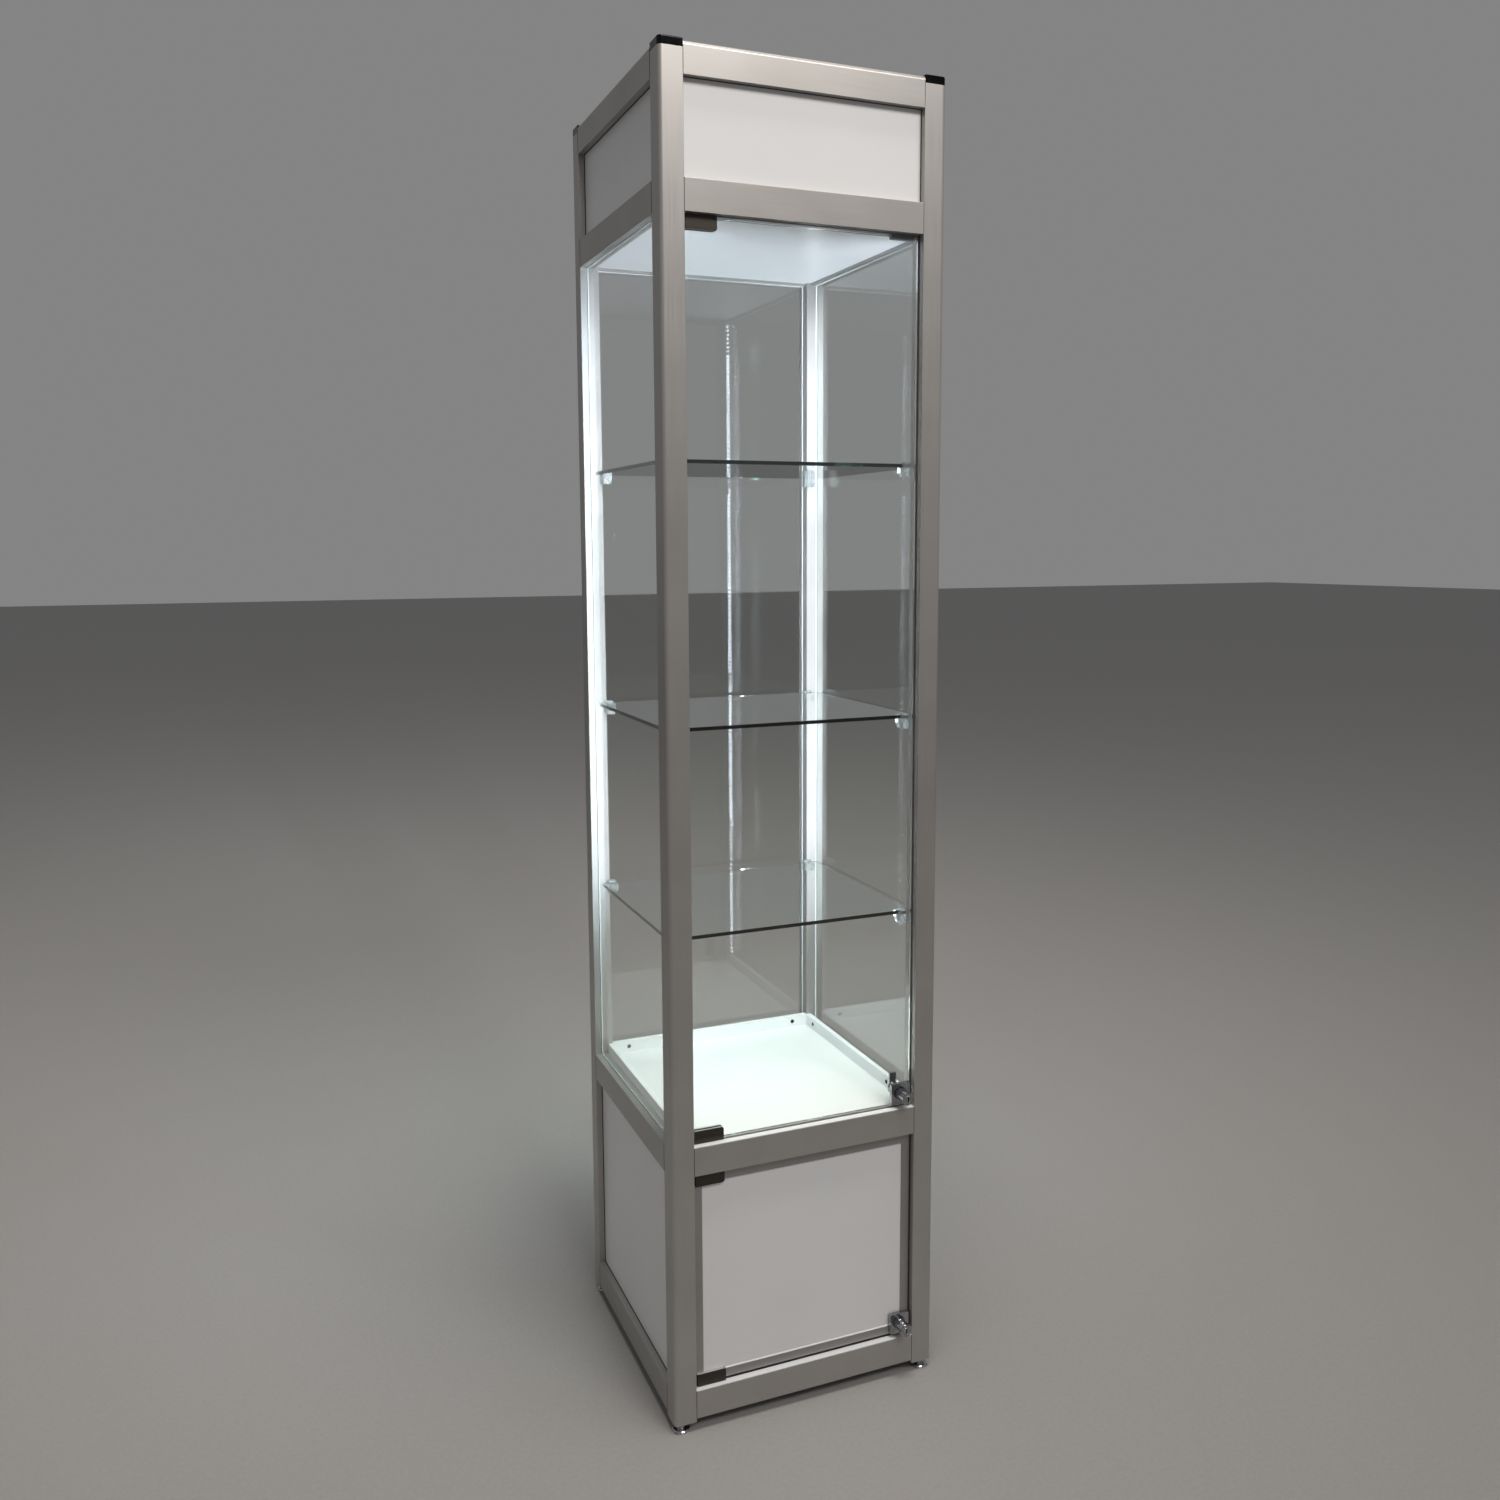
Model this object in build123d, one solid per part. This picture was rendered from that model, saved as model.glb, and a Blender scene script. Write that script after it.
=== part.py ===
"""Tower display case: aluminium post-and-rail frame, glass showcase over a lockable cupboard.

Millimetres, +Z up, front of the case towards -Y. The origin is on the floor under the
middle of the case's overall box, lock barrels included.
"""
from build123d import *
import os

# ---- overall ------------------------------------------------------------------------
case_width = 400.0           # across the outer faces of the posts, along X
case_depth = 400.0           # across the outer faces of the posts, along Y
frame_height = 1800.0        # underside of the base rails to top of the top rails
floor_gap = 18.0             # floor to underside of the base rails

# ---- frame extrusions ---------------------------------------------------------------
post_size = 32.0
post_corner_radius = 6.0
edge_radius = 0.6            # broken edges of the extrusions, which show as a fine seam
extrusion_wall = 2.5
post_drop = 5.0              # posts reach this far below the base rails
rail_height = 40.0
rail_depth = 25.0
top_edge_radius = 6.0
header_opening = 120.0       # clear height between header rail and top rail
cupboard_opening = 310.0     # clear height between base rail and deck rail

# ---- infill panels ------------------------------------------------------------------
panel_thickness = 5.0        # glass and laminate alike
panel_recess = 10.0          # outer face of the frame to outer face of the panel
groove_depth = 6.0
groove_clearance = 0.3       # each side of a panel in its groove
groove_end_gap = 1.0         # panel edge to the bottom of its groove
board_thickness = 6.0        # top, ceiling, deck and cupboard floor
board_sink = 3.0             # boards lie this far inside the rail faces

# ---- doors --------------------------------------------------------------------------
door_gap = 2.0               # door edge to post
door_end_gap = 4.0           # door edge to the rail above or below
glass_door_thickness = 5.0
door_centre_recess = 14.5    # frame face to the middle of the door's thickness
cupboard_door_thickness = 9.0
door_trim_width = 12.0
door_panel_setback = 2.0     # trim face to the face of the laminate
door_panel_lap = 6.0         # how far the laminate reaches into the trim
pivot_inset = 14.0           # post face to the hinge axis
hinge_length = 42.0
hinge_height = 18.0
hinge_cheek = 3.2            # metal outside the door on each side
hinge_post_gap = 4.0
hinge_rail_gap = 1.0
hinge_corner_radius = 3.5
notch_margin = 6.0           # door corner cut away around the pivot, beyond the axis
notch_height = 13.0
pivot_radius = 3.0
pivot_running_clearance = 0.05
pivot_in_rail = 12.0
pivot_in_hinge = 10.0
stop_length = 35.0
stop_height = 6.0
stop_clearance = 0.4

# ---- locks --------------------------------------------------------------------------
lock_plate = 30.0
lock_plate_thickness = 6.0
lock_plate_radius = 2.0
lock_inset = 1.5             # lock plate to the door's free edge
lock_barrel_radius = 8.5
lock_barrel_length = 22.0
lock_sleeve_radius = 9.0
lock_hole_clearance = 0.5
lock_plug_radius = 6.0
lock_running_clearance = 0.05
keyway_width = 1.8
keyway_height = 8.0
keyway_depth = 10.0
cam_thickness = 3.0
cam_width = 11.0
cam_post_clearance = 0.8     # cam to the back of the post it hooks behind
cam_hook = 3.4               # how far the turned cam reaches behind the post

# ---- showcase fittings --------------------------------------------------------------
shelf_thickness = 5.0
shelf_rises = {"upper": 912.0, "middle": 563.0, "lower": 280.0}    # above the deck rails
shelf_rise_opening = 1210.0  # clear height of the showcase that these rises are drawn for
shelf_side_gap = 3.0         # shelf edge to the side glass
clip_width = 12.5
clip_channel_gap = 0.5       # side of the clip to the light channel
clip_depth = 22.0
clip_lip_depth = 8.0
clip_lip_height = 7.0
clip_height = 13.0
clip_chamfer = 6.5
shelf_lip_gap = 2.0
upstand_height = 18.0
upstand_thickness = 8.0
upstand_end_gap = 1.0
channel_width = 11.5
channel_depth = 8.0
channel_wall = 1.2
channel_glass_gap = 0.5
led_board_width = 8.0
led_board_thickness = 1.5

# ---- services and feet --------------------------------------------------------------
driver_size = (120.0, 44.0, 26.0)
driver_corner_radius = 3.0
grommet_bore_radius = 5.0
grommet_neck_radius = 8.0
grommet_flange_radius = 11.0
grommet_flange_thickness = 2.0
grommet_from_post = 48.0
cap_height = 11.0
cap_proud = 2.0
cap_spigot_depth = 15.0
cap_edge_radius = 1.5
cap_spigot_clearance = 0.2
foot_radius = 12.5
foot_rim = 3.5
foot_rim_chamfer = 1.2
foot_neck_radius = 6.0
foot_neck_height = 4.0
foot_stud_radius = 4.0
foot_stud_length = 36.0
foot_thread_clearance = 0.05
foot_socket_height = 24.0
cut_overrun = 1.0            # cutting shapes run this far past the surface they cut

# ---- levels and planes that follow from the sizes above ------------------------------
half_w = case_width / 2
half_d = case_depth / 2
inner_w = half_w - post_size                      # inner faces of the posts
inner_d = half_d - post_size
base_z = floor_gap
deck_z = base_z + rail_height + cupboard_opening
top_z = base_z + frame_height - rail_height
header_z = top_z - header_opening - rail_height
frame_top = base_z + frame_height
post_bottom = base_z - post_drop
post_top = frame_top + cap_proud - cap_height
cavity = post_size - extrusion_wall * 2 - groove_depth
deck_top = deck_z + rail_height - board_sink
ceiling_bottom = header_z + board_sink
door_y = -half_d + door_centre_recess
pivot_x = -inner_w + pivot_inset
door_left = -inner_w + door_gap
door_right = inner_w - door_gap
showcase_opening = header_z - deck_z - rail_height
shelf_tops = {
    name: deck_z + rail_height + rise * showcase_opening / shelf_rise_opening
    for name, rise in shelf_rises.items()
}
channel_left = -half_w + panel_recess + panel_thickness + channel_glass_gap
glass_door_z = (deck_z + rail_height + door_end_gap, header_z - door_end_gap)
cupboard_door_z = (base_z + rail_height + door_end_gap, deck_z - door_end_gap)
lock_x = door_right - lock_inset - lock_plate / 2
barrel_tip_y = door_y - cupboard_door_thickness / 2 - lock_plate_thickness - lock_barrel_length
plug_back_y = -inner_d + cam_post_clearance
origin_offset = (-barrel_tip_y - half_d) / 2      # centres the overall box on the origin

corners = {"front_left": (-1, -1), "front_right": (1, -1), "rear_left": (-1, 1), "rear_right": (1, 1)}
nodes = {}


def span(x, y, z):
    """Box between the low and high value given for each axis."""
    size = (x[1] - x[0], y[1] - y[0], z[1] - z[0])
    middle = ((x[0] + x[1]) / 2, (y[0] + y[1]) / 2, (z[0] + z[1]) / 2)
    return Pos(*middle) * Box(*size)


def rod(radius, start, length, direction):
    """Cylinder from a start point along +Y or +Z, or against it with a negative length."""
    turn = {"y": Rot(-90, 0, 0), "z": Rot(0, 0, 0)}[direction]
    base = Align.MIN if length > 0 else Align.MAX
    return Pos(*start) * turn * Cylinder(radius, abs(length), align=(Align.CENTER, Align.CENTER, base))


def group(shapes):
    """Separate solids that share one node, such as identical fittings."""
    return Compound([solid for shape in shapes for solid in shape.solids()])


def at_corner(shape, corner):
    """Moves a shape drawn for the front left corner to another corner of the case."""
    side, end = corners[corner]
    if side > 0:
        shape = shape.mirror(Plane.YZ)
    if end > 0:
        shape = shape.mirror(Plane.XZ)
    return shape


# ---- frame --------------------------------------------------------------------------
def post_outline():
    """Square with one large outer radius, centred on the front left post."""
    square = Rectangle(post_size, post_size)
    square = fillet(square.vertices().sort_by(lambda v: v.X + v.Y)[0], post_corner_radius)
    square = fillet(square.vertices().sort_by(lambda v: v.X**2 + v.Y**2)[-3:], edge_radius)
    return Pos(-half_w + post_size / 2, -half_d + post_size / 2) * square


def post_cavity(clearance=0.0):
    """Square hollow of the post, reduced all round by a clearance."""
    middle_x = -half_w + extrusion_wall + cavity / 2
    middle_y = -half_d + extrusion_wall + cavity / 2
    side = cavity - 2 * clearance
    return Pos(middle_x, middle_y) * Rectangle(side, side)


def groove(face):
    """Low and high edge of a panel groove, from the outer face of the frame."""
    near = -face + panel_recess - groove_clearance
    return near, near + panel_thickness + 2 * groove_clearance


def post():
    """Front left post: hollow, with a panel groove in each inner face."""
    section = post_outline() - post_cavity()
    body = extrude(Pos(0, 0, post_bottom) * section, post_top - post_bottom)
    height = (post_bottom - cut_overrun, post_top + cut_overrun)
    body -= span((-inner_w - groove_depth, -inner_w + cut_overrun), groove(half_d), height)
    body -= span(groove(half_w), (-inner_d - groove_depth, -inner_d + cut_overrun), height)
    return body


def rail(length, face, z, top=False):
    """Hollow rail along X on the front of the case, grooved above and below."""
    body = span((-length / 2, length / 2), (-face, -face + rail_depth), (z, z + rail_height))
    outer = body.edges().filter_by(Axis.X).group_by(Axis.Y)[0].sort_by(Axis.Z)
    body = fillet(outer[-1], top_edge_radius if top else edge_radius)
    ends = (-length / 2 - cut_overrun, length / 2 + cut_overrun)
    body -= span(ends, groove(face), (z - cut_overrun, z + groove_depth))
    if not top:
        upper = z + rail_height
        body -= span(ends, groove(face), (upper - groove_depth, upper + cut_overrun))
    hollow_low = z + groove_depth + extrusion_wall
    hollow_high = z + rail_height - groove_depth - extrusion_wall
    depth = (-face + extrusion_wall, -face + rail_depth - extrusion_wall)
    return body - span(ends, depth, (hollow_low, hollow_high))


def rails(z, top=False):
    """The four rails of one level, by side."""
    across = rail(2 * inner_w, half_d, z, top)
    along = rail(2 * inner_d, half_w, z, top)
    return {
        "front": across,
        "rear": Rot(0, 0, 180) * across,
        "left": Rot(0, 0, -90) * along,
        "right": Rot(0, 0, 90) * along,
    }


def board(z):
    """Board inside the rails of one level, notched round the posts."""
    x = half_w - rail_depth
    y = half_d - rail_depth
    body = span((-x, x), (-y, y), (z, z + board_thickness))
    through = (z - cut_overrun, z + board_thickness + cut_overrun)
    notch = span((-half_w, -inner_w), (-half_d, -inner_d), through)
    for corner in corners:
        body -= at_corner(notch, corner)
    return body


def infill(length, face, low, high):
    """Panel on the front of the case that reaches into the grooves round it."""
    reach = groove_depth - groove_end_gap
    x = length / 2 + reach
    y = (-face + panel_recess, -face + panel_recess + panel_thickness)
    return span((-x, x), y, (low - reach, high + reach))


def infill_set(low, high):
    """Four panels between two levels of rails, by side."""
    across = infill(2 * inner_w, half_d, low, high)
    along = infill(2 * inner_d, half_w, low, high)
    return {
        "front": across,
        "rear": Rot(0, 0, 180) * across,
        "left": Rot(0, 0, -90) * along,
        "right": Rot(0, 0, 90) * along,
    }


def corner_cap():
    """Cap on the front left post, with a spigot in the post's hollow."""
    head = extrude(Pos(0, 0, post_top) * post_outline(), cap_height)
    head = fillet(head.faces().sort_by(Axis.Z)[-1].edges(), cap_edge_radius)
    spigot = extrude(Pos(0, 0, post_top) * post_cavity(cap_spigot_clearance), -cap_spigot_depth)
    return head + spigot


# ---- doors --------------------------------------------------------------------------
def pivot_notches(z):
    """Corner cut-outs of a door around its two pivots."""
    x = (door_left - cut_overrun, pivot_x + notch_margin)
    y = (door_y - post_size, door_y + post_size)
    lower = span(x, y, (z[0] - cut_overrun, z[0] + notch_height))
    return lower + span(x, y, (z[1] - notch_height, z[1] + cut_overrun))


def lock_axis_z(z):
    """Height of a door's lock axis above its bottom edge."""
    return z[0] + lock_inset + lock_plate / 2


def lock_hole(z):
    """Hole through a door for the sleeve of its lock."""
    start = (lock_x, door_y - post_size / 2, lock_axis_z(z))
    return rod(lock_sleeve_radius + lock_hole_clearance, start, post_size, "y")


def glass_door():
    """Frameless glass leaf."""
    half = glass_door_thickness / 2
    leaf = span((door_left, door_right), (door_y - half, door_y + half), glass_door_z)
    return leaf - pivot_notches(glass_door_z) - lock_hole(glass_door_z)


def cupboard_door():
    """Laminate leaf and the trim round it."""
    half = cupboard_door_thickness / 2
    low, high = cupboard_door_z
    face = door_y - half + door_panel_setback
    edge = door_trim_width - door_panel_lap
    leaf_y = (face, face + panel_thickness)
    leaf = span((door_left + edge, door_right - edge), leaf_y, (low + edge, high - edge))
    frame = span((door_left, door_right), (door_y - half, door_y + half), cupboard_door_z)
    window_x = (door_left + door_trim_width, door_right - door_trim_width)
    window_z = (low + door_trim_width, high - door_trim_width)
    frame -= span(window_x, (door_y - post_size, door_y + post_size), window_z)
    cut = pivot_notches(cupboard_door_z) + lock_hole(cupboard_door_z)
    return leaf - cut, frame - leaf - cut


def hinge(leaf, z, thickness, upper):
    """Clamp on a door's corner, bored to run on a pivot pin."""
    half = thickness / 2 + hinge_cheek
    left = -inner_w + hinge_post_gap
    end = z[1] + door_end_gap - hinge_rail_gap if upper else z[0] - door_end_gap + hinge_rail_gap
    height = (end - hinge_height, end) if upper else (end, end + hinge_height)
    block = span((left, left + hinge_length), (door_y - half, door_y + half), height)
    inner = block.edges().filter_by(Axis.Y).group_by(Axis.X)[-1].sort_by(Axis.Z)
    block = fillet(inner[0] if upper else inner[-1], hinge_corner_radius)
    start = (pivot_x, door_y, end - pivot_in_hinge - cut_overrun if upper else end - cut_overrun)
    bore = pivot_in_hinge + 2 * cut_overrun
    return block - leaf - rod(pivot_radius + pivot_running_clearance, start, bore, "z")


def pivot_pins():
    """Four pins pressed into the rails, two for each door."""
    pins = []
    for level in (header_z, deck_z):
        start = level + pivot_in_rail
        pins.append(rod(pivot_radius, (pivot_x, door_y, start), -pivot_in_rail - pivot_in_hinge, "z"))
    for level in (deck_z + rail_height, base_z + rail_height):
        start = level - pivot_in_rail
        pins.append(rod(pivot_radius, (pivot_x, door_y, start), pivot_in_rail + pivot_in_hinge, "z"))
    return pins


def lock(z, thickness):
    """Lock on a door: body, plug with its keyway, and the cam on the plug's end."""
    axis_z = lock_axis_z(z)
    face = door_y - thickness / 2
    plate_y = (face - lock_plate_thickness, face)
    half = lock_plate / 2
    plate = span((lock_x - half, lock_x + half), plate_y, (axis_z - half, axis_z + half))
    plate = fillet(plate.edges().filter_by(Axis.Y), lock_plate_radius)
    tip = plate_y[0] - lock_barrel_length
    body = plate + rod(lock_barrel_radius, (lock_x, tip, axis_z), lock_barrel_length, "y")
    sleeve = plug_back_y - cam_post_clearance - face
    body += rod(lock_sleeve_radius, (lock_x, face, axis_z), sleeve, "y")
    bore = plug_back_y - tip + 2 * cut_overrun
    start = (lock_x, tip - cut_overrun, axis_z)
    body -= rod(lock_plug_radius + lock_running_clearance, start, bore, "y")
    plug = rod(lock_plug_radius, (lock_x, tip, axis_z), plug_back_y - tip, "y")
    slot_x = (lock_x - keyway_width / 2, lock_x + keyway_width / 2)
    slot_z = (axis_z - keyway_height / 2, axis_z + keyway_height / 2)
    plug -= span(slot_x, (tip - cut_overrun, tip + keyway_depth), slot_z)
    reach = inner_w + cam_hook - lock_x
    cam_y = (plug_back_y, plug_back_y + cam_thickness)
    cam = span((lock_x - cam_width / 2, lock_x + cam_width / 2), cam_y, (axis_z, axis_z + reach))
    cam += rod(cam_width / 2, (lock_x, cam_y[0], axis_z), cam_thickness, "y")
    return body, plug, cam


def door_stop(z, thickness):
    """Stop under a rail, just behind the free corner of a door."""
    y = (door_y + thickness / 2 + stop_clearance, -half_d + rail_depth)
    right = door_right - door_gap
    return span((right - stop_length, right), y, (z - stop_height, z))


# ---- showcase -----------------------------------------------------------------------
def shelf(top):
    """Glass shelf between the side glasses, clear of the clip lips."""
    x = half_w - panel_recess - panel_thickness - shelf_side_gap
    y = inner_d - clip_lip_depth - shelf_lip_gap
    return span((-x, x), (-y, y), (top - shelf_thickness, top))


def shelf_clip(top):
    """Clip on the back face of the front left post, with a lip at the shelf's edge."""
    left = channel_left + channel_width + clip_channel_gap
    x = (left, left + clip_width)
    seat = top - shelf_thickness
    foot = span(x, (-inner_d, -inner_d + clip_depth), (seat - clip_height, seat))
    tip = foot.edges().filter_by(Axis.X).group_by(Axis.Y)[-1].sort_by(Axis.Z)[0]
    lip = span(x, (-inner_d, -inner_d + clip_lip_depth), (seat, seat + clip_lip_height))
    return chamfer(tip, clip_chamfer) + lip


def led_channel():
    """Open channel on the back face of the front left post, and the board inside it."""
    z = (deck_z + rail_height, header_z)
    outer = span((channel_left, channel_left + channel_width), (-inner_d, -inner_d + channel_depth), z)
    inside = (channel_left + channel_wall, channel_left + channel_width - channel_wall)
    floor_y = -inner_d + channel_wall
    channel = outer - span(inside, (floor_y, -inner_d + channel_depth + cut_overrun), z)
    middle = channel_left + channel_width / 2
    half = led_board_width / 2
    board_y = (floor_y, floor_y + led_board_thickness)
    return channel, span((middle - half, middle + half), board_y, z)


def upstands():
    """Low rails on the deck along the left, right and rear glass."""
    x = half_w - rail_depth
    y = half_d - rail_depth
    z = (deck_top, deck_top + upstand_height)
    side = span((-x, -x + upstand_thickness), (-inner_d + clip_depth, inner_d - upstand_end_gap), z)
    end = inner_w - upstand_end_gap
    rear = span((-end, end), (y - upstand_thickness, y), z)
    return [side, side.mirror(Plane.YZ), rear]


# ---- services and feet --------------------------------------------------------------
def grommet():
    """Cable grommet in the rear header panel, and the hole that it fills."""
    x = inner_w - grommet_from_post
    z = header_z + rail_height + header_opening / 2
    y = half_d - panel_recess
    neck = rod(grommet_neck_radius, (x, y, z), -panel_thickness, "y")
    outside = rod(grommet_flange_radius, (x, y, z), grommet_flange_thickness, "y")
    inside = rod(grommet_flange_radius, (x, y - panel_thickness, z), -grommet_flange_thickness, "y")
    bore_start = y - panel_thickness - grommet_flange_thickness
    bore = rod(grommet_bore_radius, (x, bore_start, z), panel_thickness + 2 * grommet_flange_thickness, "y")
    return neck + outside + inside - bore, neck


def led_driver():
    """Power supply lying on the ceiling board, inside the header."""
    length, width, height = driver_size
    low = ceiling_bottom + board_thickness
    body = Pos(0, 0, low + height / 2) * Box(length, width, height)
    return fillet(body.edges().filter_by(Axis.Z), driver_corner_radius)


def foot_socket():
    """Threaded block in the bottom of the front left post."""
    block = extrude(Pos(0, 0, post_bottom) * post_cavity(), foot_socket_height)
    start = foot_centre(post_bottom - cut_overrun)
    thread = foot_socket_height + 2 * cut_overrun
    return block - rod(foot_stud_radius + foot_thread_clearance, start, thread, "z")


def foot_centre(z):
    """Point on the axis of the front left foot."""
    middle = extrusion_wall + cavity / 2
    return -half_w + middle, -half_d + middle, z


def foot():
    """Levelling foot: domed disc and stud in one."""
    disc = rod(foot_radius, foot_centre(0), foot_rim, "z")
    disc = chamfer(disc.faces().sort_by(Axis.Z)[-1].edges(), foot_rim_chamfer)
    neck = rod(foot_neck_radius, foot_centre(foot_rim), foot_neck_height, "z")
    return disc + neck + rod(foot_stud_radius, foot_centre(foot_rim), foot_stud_length, "z")


# ---- the assembly -------------------------------------------------------------------
for corner in corners:
    nodes["post_" + corner] = at_corner(post(), corner)
    nodes["levelling_foot_" + corner] = at_corner(foot(), corner)
nodes["corner_caps"] = group(at_corner(corner_cap(), corner) for corner in corners)
nodes["foot_sockets"] = group(at_corner(foot_socket(), corner) for corner in corners)

levels = {
    "top": rails(top_z, top=True),
    "header": rails(header_z),
    "deck": rails(deck_z),
    "base": rails(base_z),
}
pins = pivot_pins()
for level in ("header", "deck", "base"):
    for pin in pins:
        levels[level]["front"] -= pin
for level, sides in levels.items():
    for side in ("front", "left", "right"):
        nodes[level + "_rail_" + side] = sides[side]
nodes["rear_rails"] = group(sides["rear"] for sides in levels.values())
nodes["pivot_pins"] = group(pins)

header_panels = infill_set(header_z + rail_height, top_z)
showcase_glass = infill_set(deck_z + rail_height, header_z)
cupboard_panels = infill_set(base_z + rail_height, deck_z)
nodes["cable_grommet"], grommet_hole = grommet()
header_panels["rear"] -= grommet_hole
for side in ("front", "rear", "left", "right"):
    nodes["header_panel_" + side] = header_panels[side]
for side in ("rear", "left", "right"):
    nodes["glass_" + side] = showcase_glass[side]
    nodes["cupboard_panel_" + side] = cupboard_panels[side]

nodes["top_board"] = board(frame_top - board_sink - board_thickness)
nodes["ceiling_board"] = board(ceiling_bottom)
nodes["deck_board"] = board(deck_top - board_thickness)
nodes["cupboard_floor"] = board(base_z + rail_height - board_sink - board_thickness)
nodes["deck_upstands"] = group(upstands())
nodes["led_driver"] = led_driver()

channel, led_board = led_channel()
nodes["led_channels"] = group([channel, channel.mirror(Plane.YZ)])
nodes["led_boards"] = group([led_board, led_board.mirror(Plane.YZ)])

for name, top in shelf_tops.items():
    nodes["glass_shelf_" + name] = shelf(top)
nodes["shelf_clips"] = group(
    at_corner(shelf_clip(top), corner) for top in shelf_tops.values() for corner in corners
)

nodes["glass_door"] = glass_door()
nodes["cupboard_door_panel"], nodes["cupboard_door_trim"] = cupboard_door()
door_leaves = {
    "glass_door": (nodes["glass_door"], glass_door_z, glass_door_thickness),
    "cupboard_door": (
        nodes["cupboard_door_panel"] + nodes["cupboard_door_trim"],
        cupboard_door_z,
        cupboard_door_thickness,
    ),
}
for name, (leaf, z, thickness) in door_leaves.items():
    nodes[name + "_hinges"] = group(hinge(leaf, z, thickness, upper) for upper in (True, False))
    body, plug, cam = lock(z, thickness)
    nodes[name + "_lock_body"] = body
    nodes[name + "_lock_plug"] = plug
    nodes[name + "_lock_cam"] = cam
nodes["door_stops"] = group(
    [door_stop(header_z, glass_door_thickness), door_stop(deck_z, cupboard_door_thickness)]
)

os.makedirs("parts", exist_ok=True)
for name, shape in nodes.items():
    export_step(Pos(0, origin_offset, 0) * shape, "parts/" + name + ".step")
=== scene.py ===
"""Looks of the tower display case: finishes, light strips, beads, screws, lock details and studio."""
import math

import bpy
import bmesh
from mathutils import Euler, Matrix, Vector


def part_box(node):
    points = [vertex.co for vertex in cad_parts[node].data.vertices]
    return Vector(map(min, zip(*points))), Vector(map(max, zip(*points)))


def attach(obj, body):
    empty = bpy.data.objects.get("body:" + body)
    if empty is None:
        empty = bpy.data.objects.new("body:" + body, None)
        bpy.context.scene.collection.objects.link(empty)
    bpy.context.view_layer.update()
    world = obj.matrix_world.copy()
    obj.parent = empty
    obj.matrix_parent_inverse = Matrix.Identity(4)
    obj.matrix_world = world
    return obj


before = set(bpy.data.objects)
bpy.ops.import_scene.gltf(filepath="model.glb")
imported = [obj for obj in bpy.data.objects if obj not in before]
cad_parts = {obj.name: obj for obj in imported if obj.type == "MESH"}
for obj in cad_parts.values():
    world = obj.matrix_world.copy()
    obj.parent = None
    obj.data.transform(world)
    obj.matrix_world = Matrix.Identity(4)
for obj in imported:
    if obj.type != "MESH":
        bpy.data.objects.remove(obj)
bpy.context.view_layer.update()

MM = 0.001
X, Y, Z = 0, 1, 2

# ---- the case's own planes, read from the frame --------------------------------------
post_low, post_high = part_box("post_front_left")
far_low, far_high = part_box("post_rear_right")
POST = post_high.x - post_low.x
LEFT, RIGHT = post_low.x, far_high.x
FRONT, REAR = post_low.y, far_high.y
WIDTH = RIGHT - LEFT
CENTRE_X, CENTRE_Y = (LEFT + RIGHT) / 2, (FRONT + REAR) / 2
BASE, BASE_HIGH = (corner.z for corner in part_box("base_rail_left"))
DECK_LOW, DECK_HIGH = (corner.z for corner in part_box("deck_rail_front"))
HEADER_LOW, HEADER_HIGH = (corner.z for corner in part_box("header_rail_front"))
TOP_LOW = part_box("top_rail_front")[0].z

# ---- sizes of the light strips --------------------------------------------------------
DIODE_PITCH = 7.5 * MM
DIODE_ROW_INSET = 4 * MM              # outer edge of a light board to the middle of its row
HOUSING_RADIUS, HOUSING_DEPTH = 3.5 * MM, 0.8 * MM
HOUSING_LIFT = 0.3 * MM               # face of the board to the middle of a housing
LENS_RADIUS, LENS_DEPTH = 2.0 * MM, 0.2 * MM
LENS_LIFT = 0.75 * MM                 # and to the middle of a lens

# ---- sizes of the painted light and shade lines round panels, lips, door and joints ---
PAINTED_SHADE_LINE_RADIUS = 1.1 * MM
PAINTED_LIT_EDGE_RADIUS = 1.3 * MM
BEAD_RADIUS = 1.4 * MM
BEAD_END_GAP = 0.5 * MM
BEAD_SIDES = 8
TRIM_WIDTH = 12 * MM                  # edge of the cupboard door to its panel
STRIP_END_GAP = 0.3 * MM
STRIP_SETBACK = 0.6 * MM              # outer face of the rail to the strip
STRIP_COVER = 0.5 * MM                # how far the strip runs in behind a door's face
STRIP_SINK, STRIP_RISE = 0.2 * MM, 0.5 * MM
STRIP_EDGE = 0.25 * MM
SEAM_RADIUS = 0.35 * MM
SEAM_SIDES = 6
SEAM_END_GAP = 0.6 * MM
TOP_EDGE_ROUND = 6 * MM               # rounded top edge of the top rails, where a seam stops

# ---- sizes of the screws --------------------------------------------------------------
SCREW_SHAPE = ((0, 1), (0.6, 1), (1, 0.82), (1, 0.5), (0.35, 0.46))    # shares of height and radius
SCREW_SIDES = 20
UPSTAND_SCREW_RADIUS, UPSTAND_SCREW_RISE = 3.2 * MM, 0.8 * MM
UPSTAND_THICKNESS = 8 * MM
UPSTAND_SCREW_LEVEL = 9 * MM          # above the foot of the upstand
SCREW_FROM_FRONT, SCREW_FROM_CORNER = 30 * MM, 34 * MM
HINGE_SCREW_RADIUS, HINGE_SCREW_RISE = 2.6 * MM, 0.7 * MM
HINGE_SCREW_LEVEL = 9 * MM            # from the hinge's outer end, halfway up its plate
HINGE_SCREW_NEAR, HINGE_SCREW_FAR = 19 * MM, 9 * MM    # from the pivot's end and from the free end

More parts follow.
